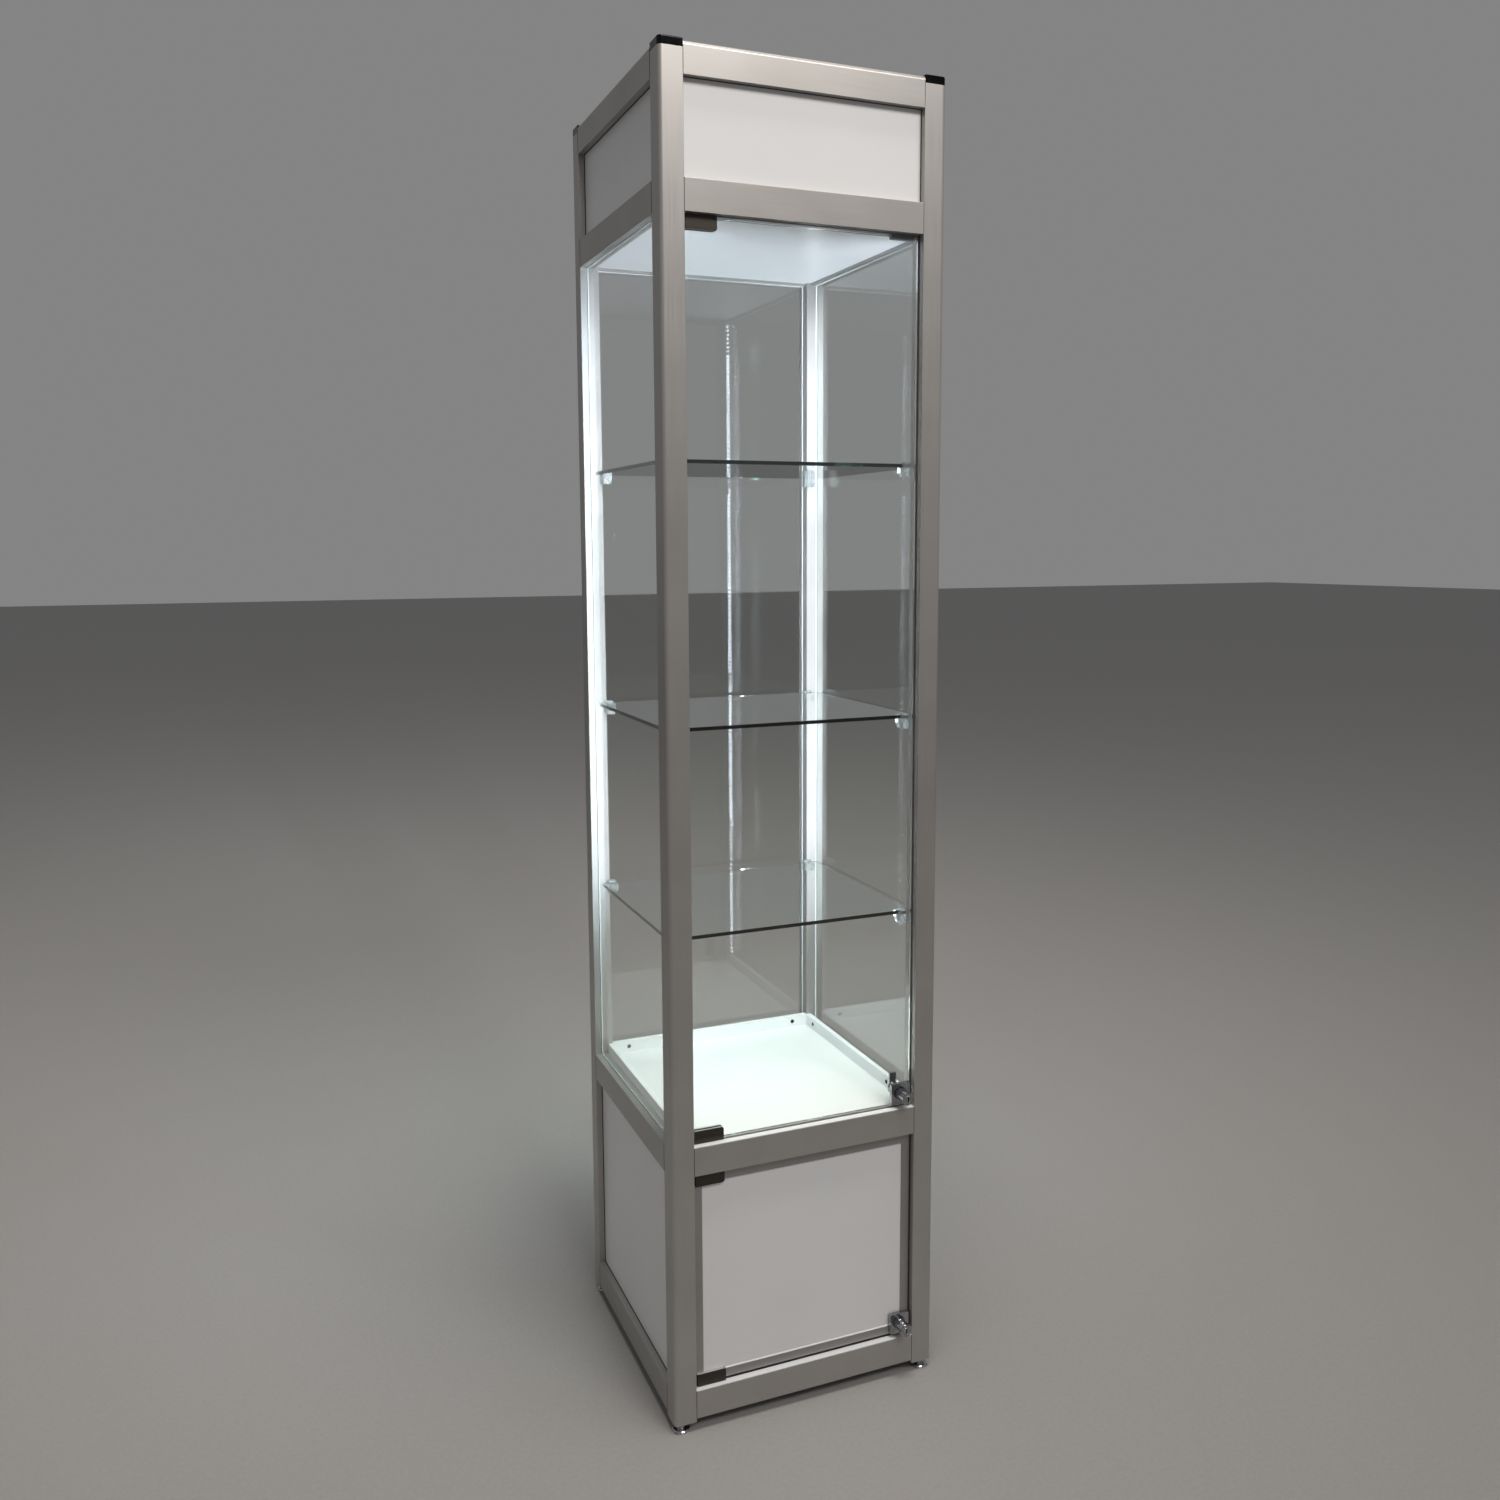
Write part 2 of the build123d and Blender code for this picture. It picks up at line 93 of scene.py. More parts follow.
# ---- sizes of the lock details --------------------------------------------------------
BARREL_RADIUS = 8.5 * MM
BARREL_RINGS = ((1.2, 2.4, 0.7), (8.0, 1.2, 0.4), (16.0, 4.0, 0.9))    # start, width and rise, in mm
RING_SINK, RING_EDGE = 0.3 * MM, 0.25 * MM
KEY_RIM = ((0, 4.6), (0.5, 4.8), (0.5, 5.4), (0, 5.6))    # rise and radius of its corners, in mm
KEY_RIM_SINK = 0.1 * MM
LOCK_SIDES = 40
SHARP_CORNER = math.radians(35)


# ---- colours and nodes ----------------------------------------------------------------
def linear(code):
    """Linear colour with full alpha from an sRGB hex value such as "a8a39d"."""
    channels = [int(code[i:i + 2], 16) / 255 for i in (0, 2, 4)]
    return [c / 12.92 if c <= 0.04045 else ((c + 0.055) / 1.055) ** 2.4 for c in channels] + [1.0]


def add(tree, kind, inputs=None, **settings):
    """Adds a node. inputs maps a socket's name or number to a value or to another node's output."""
    made = tree.nodes.new(kind)
    for key, value in settings.items():
        setattr(made, key, value)
    for key, value in (inputs or {}).items():
        if isinstance(value, bpy.types.NodeSocket):
            tree.links.new(value, made.inputs[key])
        else:
            made.inputs[key].default_value = value
    return made


def material(name, **surface):
    """A new material with one Principled shader, whose sockets take the given values."""
    made = bpy.data.materials.new(name)
    made.use_nodes = True
    tree = made.node_tree
    tree.nodes.clear()
    values = {key.replace("_", " "): value for key, value in surface.items()}
    shader = add(tree, "ShaderNodeBsdfPrincipled", values)
    add(tree, "ShaderNodeOutputMaterial", {"Surface": shader.outputs[0]})
    return made, tree, shader


def pattern(tree, scale, detail=2.0):
    """Noise on object coordinates, with a scale along each axis in turns per metre."""
    place = add(tree, "ShaderNodeTexCoord").outputs["Object"]
    laid = add(tree, "ShaderNodeMapping", {"Vector": place, "Scale": scale}).outputs[0]
    noise = {"Vector": laid, "Scale": 1.0, "Detail": detail}
    return add(tree, "ShaderNodeTexNoise", noise).outputs["Fac"]


def ranged(tree, value, low, high, start=0.3, end=0.7):
    """Spreads a noise value between two numbers."""
    sockets = {"Value": value, "From Min": start, "From Max": end, "To Min": low, "To Max": high}
    return add(tree, "ShaderNodeMapRange", sockets).outputs[0]


def blended(tree, value, first, second):
    """Colour between two sRGB hex values, by a value from 0 to 1."""
    mixer = add(tree, "ShaderNodeMix", {0: value, 6: linear(first), 7: linear(second)}, data_type="RGBA")
    return mixer.outputs[2]


def bumped(tree, shader, height, distance, strength):
    """Gives a shader a bump of a real depth in metres."""
    bump = add(tree, "ShaderNodeBump", {"Height": height, "Distance": distance, "Strength": strength})
    tree.links.new(bump.outputs[0], shader.inputs["Normal"])


# ---- finishes -------------------------------------------------------------------------
LINE_ACROSS = 1 / (0.5 * MM)     # die lines, finer on the metal and drawn this coarse to show
LINE_ALONG = 1 / (120 * MM)


def anodised_aluminium(name, along, dark, light, roughness):
    """Extruded aluminium, satin anodised: a soft grey metal with faint lines along its length."""
    scale = [LINE_ACROSS] * 3
    scale[along] = LINE_ALONG
    made, tree, shader = material(name, Metallic=0.65, Anisotropic=0.35)
    lines = pattern(tree, scale, detail=3.0)
    cloud = pattern(tree, [1 / (90 * MM)] * 3, detail=2.0)
    both = add(tree, "ShaderNodeMath", {0: lines, 1: cloud}, operation="ADD").outputs[0]
    tone = ranged(tree, both, 0.0, 1.0, 0.7, 1.3)
    tree.links.new(blended(tree, tone, dark, light), shader.inputs["Base Color"])
    tree.links.new(ranged(tree, lines, roughness - 0.05, roughness + 0.06), shader.inputs["Roughness"])
    bumped(tree, shader, lines, 0.02 * MM, 0.25)
    return made


def melamine_board(name, dark, light, roughness):
    """White melamine-faced board: smooth, with the faint orange peel of the press plate."""
    made, tree, shader = material(name, IOR=1.5, Coat_Weight=0.15, Coat_Roughness=0.12)
    cloud = pattern(tree, [1 / (140 * MM)] * 3, detail=3.0)
    peel = pattern(tree, [1 / (2.2 * MM)] * 3, detail=2.0)
    tree.links.new(blended(tree, cloud, dark, light), shader.inputs["Base Color"])
    tree.links.new(ranged(tree, peel, roughness - 0.04, roughness + 0.05), shader.inputs["Roughness"])
    bumped(tree, shader, peel, 0.03 * MM, 0.2)
    return made


def powder_coat(name, dark, light):
    """White powder-coated aluminium: satin, with a fine pebble grain."""
    made, tree, shader = material(name, IOR=1.5)
    grain = pattern(tree, [1 / (0.9 * MM)] * 3, detail=2.0)
    tree.links.new(blended(tree, ranged(tree, grain, 0.0, 1.0), dark, light), shader.inputs["Base Color"])
    tree.links.new(ranged(tree, grain, 0.30, 0.42), shader.inputs["Roughness"])
    bumped(tree, shader, grain, 0.04 * MM, 0.3)
    return made


def float_glass(name, across, body, edge):
    """Toughened float glass: clear through its faces, greener through its polished edges.

    across is the axis through the pane, so that faces pointing another way are its edges.
    Lamps shine through it, because a pane of clear glass hardly shades what is behind it.
    """
    made, tree, shader = material(name, IOR=1.5, Transmission_Weight=1.0)
    normal = add(tree, "ShaderNodeTexCoord").outputs["Normal"]
    parts = add(tree, "ShaderNodeSeparateXYZ", {"Vector": normal}).outputs
    facing = add(tree, "ShaderNodeMath", {0: parts[across]}, operation="ABSOLUTE").outputs[0]
    tree.links.new(blended(tree, facing, edge, body), shader.inputs["Base Color"])
    haze = pattern(tree, [1 / (60 * MM)] * 3, detail=4.0)
    tree.links.new(ranged(tree, haze, 0.0, 0.02), shader.inputs["Roughness"])
    path = add(tree, "ShaderNodeLightPath").outputs["Is Shadow Ray"]
    clear = add(tree, "ShaderNodeBsdfTransparent", {"Color": linear("f6fbf9")}).outputs[0]
    pane = add(tree, "ShaderNodeMixShader", {0: path, 1: shader.outputs[0], 2: clear}).outputs[0]
    output = next(n for n in tree.nodes if n.type == "OUTPUT_MATERIAL")
    tree.links.new(pane, output.inputs["Surface"])
    return made


def clear_polycarbonate(name):
    """Moulded clear plastic: bright edges and a slightly soft surface."""
    made, tree, shader = material(name, IOR=1.58, Transmission_Weight=0.85)
    flow = pattern(tree, [1 / (4 * MM)] * 3, detail=2.0)
    tree.links.new(blended(tree, flow, "e4eaec", "f6f9fa"), shader.inputs["Base Color"])
    tree.links.new(ranged(tree, flow, 0.06, 0.16), shader.inputs["Roughness"])
    return made


def plated_metal(name, dark, light, roughness):
    """Electroplated metal: mirror-like, with a very fine polish haze and slight tone changes."""
    made, tree, shader = material(name, Metallic=1.0)
    haze = pattern(tree, [1 / (0.6 * MM)] * 3, detail=3.0)
    tone = pattern(tree, [1 / (9 * MM)] * 3, detail=2.0)
    tree.links.new(blended(tree, ranged(tree, tone, 0.0, 1.0), dark, light), shader.inputs["Base Color"])
    tree.links.new(ranged(tree, haze, roughness * 0.7, roughness * 1.4), shader.inputs["Roughness"])
    bumped(tree, shader, haze, 0.005 * MM, 0.3)
    return made


def sawn_profile(name, dark, light, sawn):
    """Dark anodised aluminium profile, with bright bare metal on its sawn ends above and below."""
    made, tree, shader = material(name, Metallic=0.75)
    normal = add(tree, "ShaderNodeTexCoord").outputs["Normal"]
    parts = add(tree, "ShaderNodeSeparateXYZ", {"Vector": normal}).outputs
    upright = add(tree, "ShaderNodeMath", {0: parts[Z]}, operation="ABSOLUTE").outputs[0]
    end = ranged(tree, upright, 0.0, 1.0, 0.8, 0.95)
    brushed = pattern(tree, (LINE_ALONG, LINE_ACROSS, LINE_ACROSS), detail=3.0)
    coat = blended(tree, ranged(tree, brushed, 0.0, 1.0), dark, light)
    mixed = add(tree, "ShaderNodeMix", {0: end, 6: coat, 7: linear(sawn)}, data_type="RGBA").outputs[2]
    tree.links.new(mixed, shader.inputs["Base Color"])
    tree.links.new(ranged(tree, brushed, 0.32, 0.44), shader.inputs["Roughness"])
    bumped(tree, shader, brushed, 0.02 * MM, 0.3)
    return made


def moulded_plastic(name, dark, light, roughness, grain=0.7):
    """Moulded plastic or rubber with a fine even texture."""
    made, tree, shader = material(name, IOR=1.46)
    texture = pattern(tree, [1 / (grain * MM)] * 3, detail=2.0)
    tree.links.new(blended(tree, ranged(tree, texture, 0.0, 1.0), dark, light), shader.inputs["Base Color"])
    tree.links.new(ranged(tree, texture, roughness - 0.06, roughness + 0.06), shader.inputs["Roughness"])
    bumped(tree, shader, texture, 0.03 * MM, 0.3)
    return made


def light_emitting_diode(name, code, strength):
    """Phosphor face of a white diode: a cold white that lights itself.

    The soft lamps along the boards carry its light, so it isn't sampled as a lamp of its own.
    """
    made, tree, shader = material(name, IOR=1.5, Roughness=0.4, Emission_Strength=strength)
    dots = pattern(tree, [1 / (1.5 * MM)] * 3, detail=1.0)
    tree.links.new(blended(tree, dots, code, "ffffff"), shader.inputs["Base Color"])
    shader.inputs["Emission Color"].default_value = linear(code)
    made.cycles.emission_sampling = "NONE"
    return made


# the frame's extrusions: warm pale grey, with the lines running the way each length was pressed
posts_metal = anodised_aluminium("satin_anodised_aluminium_post", Z, "aba8a5", "b5b2af", 0.40)
rails_across = anodised_aluminium("satin_anodised_aluminium_rail_across", X, "aba8a5", "b5b2af", 0.40)
# painted shade: the rails along the sides are the same metal a little darker, for the shade on the case's
# sides
rails_along_shaded = anodised_aluminium("satin_anodised_aluminium_rail_along_painted_shade", Y, "a6a4a1", "b0aeab", 0.40)
# thinner edging of the cupboard door: the same metal, a little smoother, and painted a little darker as the
# shade of its recess behind the rails
trim_metal_shaded = anodised_aluminium("satin_anodised_aluminium_door_edging_painted_shade", X, "9a9896", "a4a2a0", 0.36)
# unfinished channels that hold the light boards: brighter and whiter than the frame
channel_metal = anodised_aluminium("mill_aluminium_light_channel", Z, "c4c6c8", "dcdee0", 0.30)
# boards and panels: a flat neutral white with a dull sheen
white_board = melamine_board("white_melamine_board", "e2e2e3", "e9e9ea", 0.36)
# low rails round the deck: a colder white than the boards, with a finer grain
white_coat = powder_coat("white_powder_coat", "e6e8ea", "f2f3f4")
# panes by the way they face: the doors and walls stay clear, the shelves' edges show deep green
glass_across = float_glass("clear_float_glass_front", Y, "fcfefd", "d5ebe4")
glass_along = float_glass("clear_float_glass_side", X, "fcfefd", "b9d6cc")
glass_flat = float_glass("clear_float_glass_shelf", Z, "f9fdfb", "2c463d")
# shelf clips: small glassy blocks that catch the strips' light
clip_plastic = clear_polycarbonate("clear_polycarbonate_clip")
# post caps: near black, with sharp bright reflections along their edges
black_chrome = plated_metal("black_chrome_cap", "232325", "323234", 0.1)
# hinge clamps: dark brown faces, with bright lines where the profile is cut
bronze = sawn_profile("dark_bronze_hinge", "3c3733", "4c4640", "c9cacb")
# lock bodies: a hard mirror of dark and light
lock_chrome = plated_metal("bright_chrome_lock", "96979a", "b4b5b8", 0.08)
# pins, cams and threaded blocks: a duller, bluish silver
zinc = plated_metal("bright_zinc_steel", "9c9ea0", "b6b8ba", 0.28)
# feet: a polished glint under the posts
foot_chrome = plated_metal("chrome_foot", "a8a8aa", "c8c8ca", 0.14)
# screws: blackened steel with a faint oily shine
screw_black = plated_metal("black_oxide_screw", "1e1e20", "2c2c2e", 0.35)
# door stops: mid grey and matt
grey_stop = moulded_plastic("grey_nylon_stop", "77777a", "86868a", 0.45)
# thin lines of soft white, painted light: the lit inner edges of the fixed glass, the lit lips of the deck
# and base rails and the lit top of the door's lower edging
painted_light_white = moulded_plastic("painted_light_white_lines", "e2e4e6", "eef0f2", 0.5)
# black without a shine: rubber on the grommet, and painted shade in the lines round the white panels and at
# the rails' joints
black_rubber_and_shade_lines = moulded_plastic("black_rubber_and_painted_shade_lines", "141414", "1e1e1e", 0.7)
# case of the driver in the header: off-white
driver_case = moulded_plastic("white_polycarbonate_driver", "d6d6d4", "e2e2e0", 0.45)
# light boards and diode housings: a clean white lacquer
board_white = moulded_plastic("white_solder_mask_board", "e6eaee", "f4f6f8", 0.35)
# diodes: rows of bright cold dots
diode = light_emitting_diode("white_light_emitting_diode", "eaf4ff", 40.0)

finishes = {
    "corner_caps": black_chrome,
    "deck_upstands": white_coat,
    "pivot_pins": zinc,
    "door_stops": grey_stop,
    "shelf_clips": clip_plastic,
    "led_channels": channel_metal,
    "led_boards": board_white,
    "led_driver": driver_case,
    "cable_grommet": black_rubber_and_shade_lines,
    "foot_sockets": zinc,
    "glass_rear": glass_across,
    "glass_door": glass_across,
    "glass_left": glass_along,
    "glass_right": glass_along,
    "cupboard_door_trim": trim_metal_shaded,
    "rear_rails": rails_across,
}


def finish_of(node):
    """The finish of a CAD node, from its own entry or from the family that its name gives."""
    families = [
        ("post_", posts_metal), ("_rail_front", rails_across), ("_rail_", rails_along_shaded),
        ("glass_shelf", glass_flat), ("_hinges", bronze), ("lock_cam", zinc), ("_lock_", lock_chrome),
        ("levelling_foot", foot_chrome), ("panel", white_board), ("board", white_board),
        ("cupboard_floor", white_board),
    ]
    return finishes.get(node) or next(made for words, made in families if words in node)


for node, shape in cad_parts.items():
    shape.data.materials.clear()
    shape.data.materials.append(finish_of(node))


# ---- pieces ---------------------------------------------------------------------------
def keep(name, data, body):
    """Makes a mesh a named piece that rides on a body."""
    data.name = name
    made = bpy.data.objects.new(name, data)
    bpy.context.scene.collection.objects.link(made)
    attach(made, body)
    return made


def mesh_of(name, shape):
    """Turns a bmesh into a mesh whose faces point outwards."""
    bmesh.ops.recalc_face_normals(shape, faces=shape.faces)
    data = bpy.data.meshes.new(name)
    shape.to_mesh(data)
    shape.free()
    return data


def piece(name, shape, finish, body):
    """Turns a bmesh into a piece with one finish."""
    data = mesh_of(name, shape)
    data.materials.append(finish)
    return keep(name, data, body)


def add_box(mesh, low, high, edge):
    """Adds a box with softly broken edges between two corners."""
    low, high = Vector(low), Vector(high)
    place = Matrix.Translation((low + high) / 2) @ Matrix.Diagonal((*(high - low), 1.0))
    verts = bmesh.ops.create_cube(mesh, size=1.0, matrix=place)["verts"]
    edges = list({e for v in verts for e in v.link_edges})
    bmesh.ops.bevel(mesh, geom=edges, offset=edge, segments=2, profile=0.5, affect="EDGES")


def add_turned(mesh, profile, origin, axis, sides, hollow=False):
    """Adds a turned part: (distance along the axis, radius) pairs swept round it.

    A solid part is closed at both ends. A hollow one is a ring, whose section closes on itself.
    """
    turn = Vector((0, 0, 1)).rotation_difference(Vector(axis)).to_matrix().to_4x4()
    place = Matrix.Translation(origin) @ turn
    angles = [2 * math.pi * i / sides for i in range(sides)]
    rings = []
    for along, radius in profile:
        corners = [Vector((radius * math.cos(a), radius * math.sin(a), along)) for a in angles]
        rings.append([mesh.verts.new(place @ corner) for corner in corners])
    for low, high in zip(rings, rings[1:] + (rings[:1] if hollow else [])):
        for i in range(sides):
            j = (i + 1) % sides
            mesh.faces.new((low[i], low[j], high[j], high[i]))
    if not hollow:
        mesh.faces.new(list(reversed(rings[0])))
        mesh.faces.new(rings[-1])


def smooth(made):
    """Smooth shading that keeps a turned piece's corners sharp."""
    for face in made.data.polygons:
        face.use_smooth = True
    made.data.set_sharp_from_angle(angle=SHARP_CORNER)


# ---- what repeats or follows a path ---------------------------------------------------
def new_tree(name, kinds):
    """Geometry tree with a path, a finish and some more inputs, given as labels and their kinds."""
    tree = bpy.data.node_groups.new(name, "GeometryNodeTree")
    sockets = {"Path": "Geometry", "Finish": "Material", **kinds}
    for label, kind in sockets.items():
        tree.interface.new_socket(label, in_out="INPUT", socket_type="NodeSocket" + kind)
    tree.interface.new_socket("Shape", in_out="OUTPUT", socket_type="NodeSocketGeometry")
    return tree, add(tree, "NodeGroupInput").outputs


def end_tree(tree, given, shape):
    """Ends a geometry tree: single faces, with the finish on them."""
    real = add(tree, "GeometryNodeRealizeInstances", {"Geometry": shape}).outputs[0]
    coated = add(tree, "GeometryNodeSetMaterial", {"Geometry": real, "Material": given["Finish"]})
    add(tree, "NodeGroupOutput", {"Shape": coated.outputs[0]})
    return tree


def bead_tree():
    """A round bead that follows the path."""
    tree, given = new_tree("bead", {"Radius": "Float", "Sides": "Int"})
    line = add(tree, "GeometryNodeMeshToCurve", {"Mesh": given["Path"]}).outputs[0]
    sizes = {"Resolution": given["Sides"], "Radius": given["Radius"]}
    section = add(tree, "GeometryNodeCurvePrimitiveCircle", sizes).outputs[0]
    sweep = {"Curve": line, "Profile Curve": section, "Fill Caps": True}
    return end_tree(tree, given, add(tree, "GeometryNodeCurveToMesh", sweep).outputs[0])


def chip_tree():
    """Small flat chips at an even pitch along the path, facing the back of the case."""
    tree, given = new_tree("chips", {"Pitch": "Float", "Radius": "Float", "Depth": "Float", "Sides": "Int"})
    line = add(tree, "GeometryNodeMeshToCurve", {"Mesh": given["Path"]}).outputs[0]
    steps = {"Curve": line, "Length": given["Pitch"]}
    places = add(tree, "GeometryNodeResampleCurve", steps, mode="LENGTH").outputs[0]
    sizes = {"Vertices": given["Sides"], "Radius": given["Radius"], "Depth": given["Depth"]}
    chip = add(tree, "GeometryNodeMeshCylinder", sizes).outputs["Mesh"]
    upright = {"Geometry": chip, "Rotation": (math.pi / 2, math.pi / 4, 0)}
    facing = add(tree, "GeometryNodeTransform", upright).outputs[0]
    rows = {"Points": places, "Instance": facing}
    return end_tree(tree, given, add(tree, "GeometryNodeInstanceOnPoints", rows).outputs[0])


def screw_tree():
    """A screw head on each point of the path, turned to face the way that the point gives."""
    tree, given = new_tree("screws", {"Head": "Object"})
    head = add(tree, "GeometryNodeObjectInfo", {"Object": given["Head"]}).outputs["Geometry"]
    facing = add(tree, "GeometryNodeInputNamedAttribute", {"Name": "facing"}, data_type="FLOAT_VECTOR")
    turn = add(tree, "FunctionNodeAlignRotationToVector", {"Vector": facing.outputs[0]}, axis="Z")
    heads = {"Points": given["Path"], "Instance": head, "Rotation": turn.outputs[0]}
    return end_tree(tree, given, add(tree, "GeometryNodeInstanceOnPoints", heads).outputs[0])


def grow(name, paths, tree, values, body, closed=False, facings=()):
    """Runs a geometry tree on paths of points and keeps the result as a piece on a body.

    facings holds one direction for each point, where the tree turns what it puts there.
    """
    points, edges = [], []
    for path in paths:
        first, last = len(points), len(points) + len(path) - 1
        points += path
        edges += [(i, i + 1) for i in range(first, last)]
        edges += [(last, first)] if closed else []
    guide = bpy.data.objects.new(name + "_path", bpy.data.meshes.new(name + "_path"))
    guide.data.from_pydata(points, edges, [])
    if facings:
        facing = guide.data.attributes.new("facing", "FLOAT_VECTOR", "POINT")
        facing.data.foreach_set("vector", [part for axis in facings for part in axis])
    bpy.context.scene.collection.objects.link(guide)
    grower = guide.modifiers.new("grower", "NODES")
    grower.node_group = tree
    labels = {item.name: item.identifier for item in tree.interface.items_tree if item.in_out == "INPUT"}
    for label, value in values.items():
        grower[labels[label]] = value
    depsgraph = bpy.context.evaluated_depsgraph_get()
    data = bpy.data.meshes.new_from_object(guide.evaluated_get(depsgraph))
    if data.materials[0] is None:    # instances bring an empty first slot
        data.materials.pop(index=0)
    bpy.data.objects.remove(guide)
    return keep(name, data, body)


def light_strips():
    """Rows of white diodes, each a square housing with a round lens, along both light boards."""
    low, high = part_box("led_boards")
    columns = (low.x + DIODE_ROW_INSET, high.x - DIODE_ROW_INSET)
    ends = (low.z + DIODE_PITCH, high.z - DIODE_PITCH)
    chips = chip_tree()
    rows = [[(x, high.y + HOUSING_LIFT, z) for z in ends] for x in columns]
    housing = {"Finish": board_white, "Pitch": DIODE_PITCH, "Radius": HOUSING_RADIUS,
               "Depth": HOUSING_DEPTH, "Sides": 4}
    grow("diode_housings", rows, chips, housing, "case")
    rows = [[(x, high.y + LENS_LIFT, z) for z in ends] for x in columns]
    lens = {"Finish": diode, "Pitch": DIODE_PITCH, "Radius": LENS_RADIUS, "Depth": LENS_DEPTH, "Sides": 12}
    grow("diode_lenses", rows, chips, lens, "case")


def around(side, plane, low, high):
    """Corners of the opening between the posts on one side, on a plane and between two levels."""
    levels = (low, low, high, high)
    if side in ("front", "rear"):
        ends = (LEFT + POST, RIGHT - POST)
        return [(x, plane, z) for x, z in zip(ends + ends[::-1], levels)]
    ends = (FRONT + POST, REAR - POST)
    return [(plane, y, z) for y, z in zip(ends + ends[::-1], levels)]


def faces_of(node, side):
    """Planes of a panel's outer and inner face."""
    low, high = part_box(node)
    axis = Y if side in ("front", "rear") else X
    return (low[axis], high[axis]) if side in ("front", "left") else (high[axis], low[axis])


def panel_seals():
    """Thin black lines outside the white panels, painted shade of their recesses, and white ones inside the
    fixed glass, painted light of its lit edges.
    """
    levels = {
        "header_panel_": (HEADER_HIGH, TOP_LOW),
        "cupboard_panel_": (BASE_HIGH, DECK_LOW),
        "glass_": (DECK_HIGH, HEADER_LOW),
    }
    black, white = [], []
    for family, (low, high) in levels.items():
        for side in ("front", "rear", "left", "right"):
            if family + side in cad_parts:
                outer, inner = faces_of(family + side, side)
                if family == "glass_":
                    white.append(around(side, inner, low, high))
                else:
                    black.append(around(side, outer, low, high))
    tree = bead_tree()
    painted_line = {"Finish": black_rubber_and_shade_lines, "Radius": PAINTED_SHADE_LINE_RADIUS, "Sides": BEAD_SIDES}
    grow("panel_seals", black, tree, painted_line, "case", closed=True)
    painted_line = {"Finish": painted_light_white, "Radius": PAINTED_LIT_EDGE_RADIUS, "Sides": BEAD_SIDES}
    grow("glass_seals", white, tree, painted_line, "case", closed=True)


def lip_strips():
    """White strips on the lips of the deck and base rails, in front of the doors: a painted highlight for
    the lit tops of the lips.
    """
    mesh = bmesh.new()
    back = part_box("cupboard_door_trim")[0].y + STRIP_COVER
    for node in ("base_rail_front", "deck_rail_front"):
        low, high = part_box(node)
        near = (low.x + STRIP_END_GAP, FRONT + STRIP_SETBACK, high.z - STRIP_SINK)
        add_box(mesh, near, (high.x - STRIP_END_GAP, back, high.z + STRIP_RISE), STRIP_EDGE)
    piece("lip_strips", mesh, painted_light_white, "case")


def door_panel_bead():
    """White bead under the cupboard door's panel, from its hinge to its lock: a painted highlight for the
    lit top edge of the door's lower edging.
    """
    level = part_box("cupboard_door_trim")[0].z + TRIM_WIDTH
    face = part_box("cupboard_door_panel")[0].y
    start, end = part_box("cupboard_door_hinges")[1].x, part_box("cupboard_door_lock_body")[0].x
    line = [(start + BEAD_END_GAP, face, level), (end - BEAD_END_GAP, face, level)]
    bead = {"Finish": painted_light_white, "Radius": BEAD_RADIUS, "Sides": BEAD_SIDES}
    grow("door_panel_bead", [line], bead_tree(), bead, "cupboard_door")


def joint_seams():
    """Dark hairlines where the rails butt against the posts: painted shade of the fine gaps there."""
    seams = []
    for level in ("base", "deck", "header", "top"):
        low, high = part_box(level + "_rail_left")
        bottom = low.z + SEAM_END_GAP
        top = high.z - (TOP_EDGE_ROUND if level == "top" else SEAM_END_GAP)
        for x in (LEFT + POST, RIGHT - POST):
            seams += [[(x, y, bottom), (x, y, top)] for y in (FRONT, REAR)]
        for y in (FRONT + POST, REAR - POST):
            seams += [[(x, y, bottom), (x, y, top)] for x in (LEFT, RIGHT)]
    seam = {"Finish": black_rubber_and_shade_lines, "Radius": SEAM_RADIUS, "Sides": SEAM_SIDES}
    grow("joint_seams", seams, bead_tree(), seam, "case")


# ---- screws and lock details ----------------------------------------------------------
def screws(name, heads, radius, rise, body):
    """Round screw heads with a softened rim and a socket, at places and facing directions."""
    shape = bmesh.new()
    add_turned(shape, [(a * rise, r * radius) for a, r in SCREW_SHAPE], (0, 0, 0), (0, 0, 1), SCREW_SIDES)
    head = bpy.data.objects.new("screw_head", mesh_of("screw_head", shape))
    paths = [[place] for place, facing in heads]
    facings = [facing for place, facing in heads]
    values = {"Finish": screw_black, "Head": head}
    grow(name, paths, screw_tree(), values, body, facings=facings)
    bpy.data.objects.remove(head)


def upstand_screws():
    """Dark screw heads on the inner faces of the deck's upstands."""
    low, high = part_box("deck_upstands")
    z = low.z + UPSTAND_SCREW_LEVEL
    heads = []
    for y in (low.y + SCREW_FROM_FRONT, high.y - SCREW_FROM_CORNER):
        heads.append(((low.x + UPSTAND_THICKNESS, y, z), (1, 0, 0)))
        heads.append(((high.x - UPSTAND_THICKNESS, y, z), (-1, 0, 0)))
    for x in (low.x + SCREW_FROM_CORNER, high.x - SCREW_FROM_CORNER):
        heads.append(((x, high.y - UPSTAND_THICKNESS, z), (0, -1, 0)))
    screws("upstand_screws", heads, UPSTAND_SCREW_RADIUS, UPSTAND_SCREW_RISE, "case")


def hinge_screws(door):
    """Two clamping screws on the inner cheek of each hinge of a door."""
    low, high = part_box(door + "_hinges")
    levels = (low.z + HINGE_SCREW_LEVEL, high.z - HINGE_SCREW_LEVEL)
    columns = (low.x + HINGE_SCREW_NEAR, high.x - HINGE_SCREW_FAR)
    heads = [((x, high.y, z), (0, 1, 0)) for z in levels for x in columns]
    screws(door + "_hinge_screws", heads, HINGE_SCREW_RADIUS, HINGE_SCREW_RISE, door)


